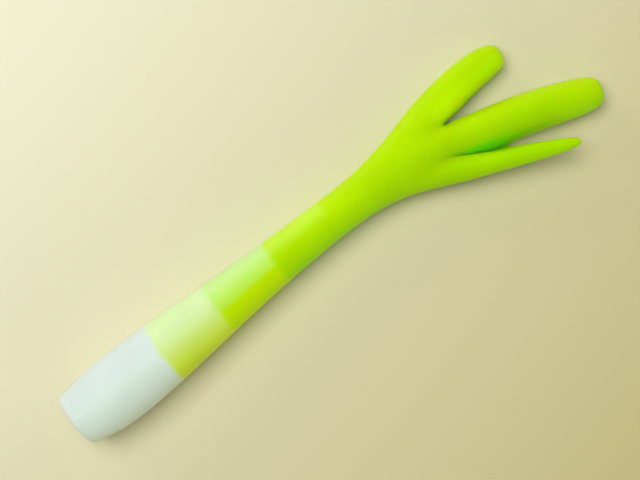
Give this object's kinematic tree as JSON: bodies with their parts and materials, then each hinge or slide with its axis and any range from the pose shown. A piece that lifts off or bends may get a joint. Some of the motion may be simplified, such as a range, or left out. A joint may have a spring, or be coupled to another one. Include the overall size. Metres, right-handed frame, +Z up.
{
  "type": "toy leek",
  "caption": "Imitation leek moulded in soft plastic, lying on its side: a thick white foot, a slim stem turning lime green, and blunt leaves that spread at the end.",
  "frame": {"origin": "on the surface it lies on, under the middle of the object's box", "axes": "+X along the stem from the white foot to the leaves, +Z up with the leek lying on its side, +Y to the left seen along +X"},
  "size_m": [0.2086, 0.0476, 0.0236],
  "materials": {
    "soft_plastic": "soft satin moulded plastic, coloured in soft-edged bands from white at the foot through pale green to lime"
  },
  "bodies": {
    "root": {"leek": "soft_plastic"}
  },
  "joints": []
}
